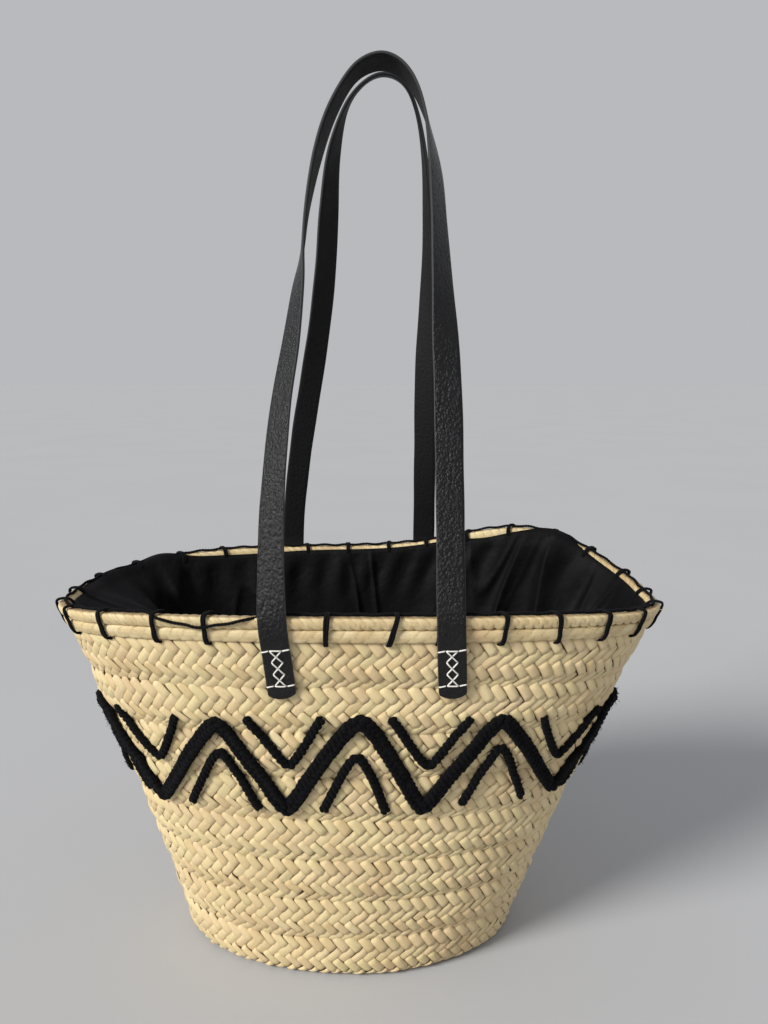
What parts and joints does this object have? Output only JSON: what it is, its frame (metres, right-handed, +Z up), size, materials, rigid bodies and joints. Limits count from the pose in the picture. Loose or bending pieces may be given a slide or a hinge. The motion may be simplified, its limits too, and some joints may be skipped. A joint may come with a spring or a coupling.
{
  "type": "woven market basket",
  "caption": "Soft plaited palm-leaf market basket with a wide oval mouth, a bound rim, zigzag embroidery, a cotton lining and two long leather strap handles.",
  "frame": {"origin": "on the floor, under the middle of the basket's overall box", "axes": "+X to the right along the long side of the mouth, +Y to the back, +Z up"},
  "size_m": [0.4807, 0.2283, 0.6916],
  "materials": {
    "palm_plait": "satin",
    "palm_rim": "satin",
    "palm_cord": "matte",
    "black_yarn": "matte",
    "black_wool": "matte",
    "black_cotton": "matte",
    "black_leather": "satin",
    "waxed_thread": "satin"
  },
  "bodies": {
    "basket": {"base_centre": "palm_plait", "base_course_1": "palm_plait", "base_course_2": "palm_plait", "wall_course_1": "palm_plait", "wall_course_2": "palm_plait", "wall_course_3": "palm_plait", "wall_course_4": "palm_plait", "wall_course_5": "palm_plait", "wall_course_6": "palm_plait", "wall_course_7": "palm_plait", "wall_course_8": "palm_plait", "sewing_cord": "palm_cord", "rim_band": "palm_rim", "rim_roll": "palm_rim", "rim_yarn": "black_yarn", "rim_stitches": "black_yarn", "lining_base": "black_cotton", "lining_side": "black_cotton", "zigzag_braid": "black_wool", "upper_chevrons": "black_wool", "lower_chevrons": "black_wool", "front_left_strap_end": "black_leather", "front_right_strap_end": "black_leather", "back_left_strap_end": "black_leather", "back_right_strap_end": "black_leather", "front_left_stitching": "waxed_thread", "front_right_stitching": "waxed_thread", "back_left_stitching": "waxed_thread", "back_right_stitching": "waxed_thread"},
    "front_handle": {"front_strap": "black_leather"},
    "back_handle": {"back_strap": "black_leather"}
  },
  "joints": [
    {"name": "front_handle_swing", "type": "hinge", "parent": "basket", "child": "front_handle", "pos_m": [0.0035, -0.1126, 0.304], "axis": [1, 0, 0], "range_deg": [0, 150]},
    {"name": "back_handle_swing", "type": "hinge", "parent": "basket", "child": "back_handle", "pos_m": [-0.0058, 0.1126, 0.304], "axis": [-1, 0, 0], "range_deg": [0, 150]}
  ]
}
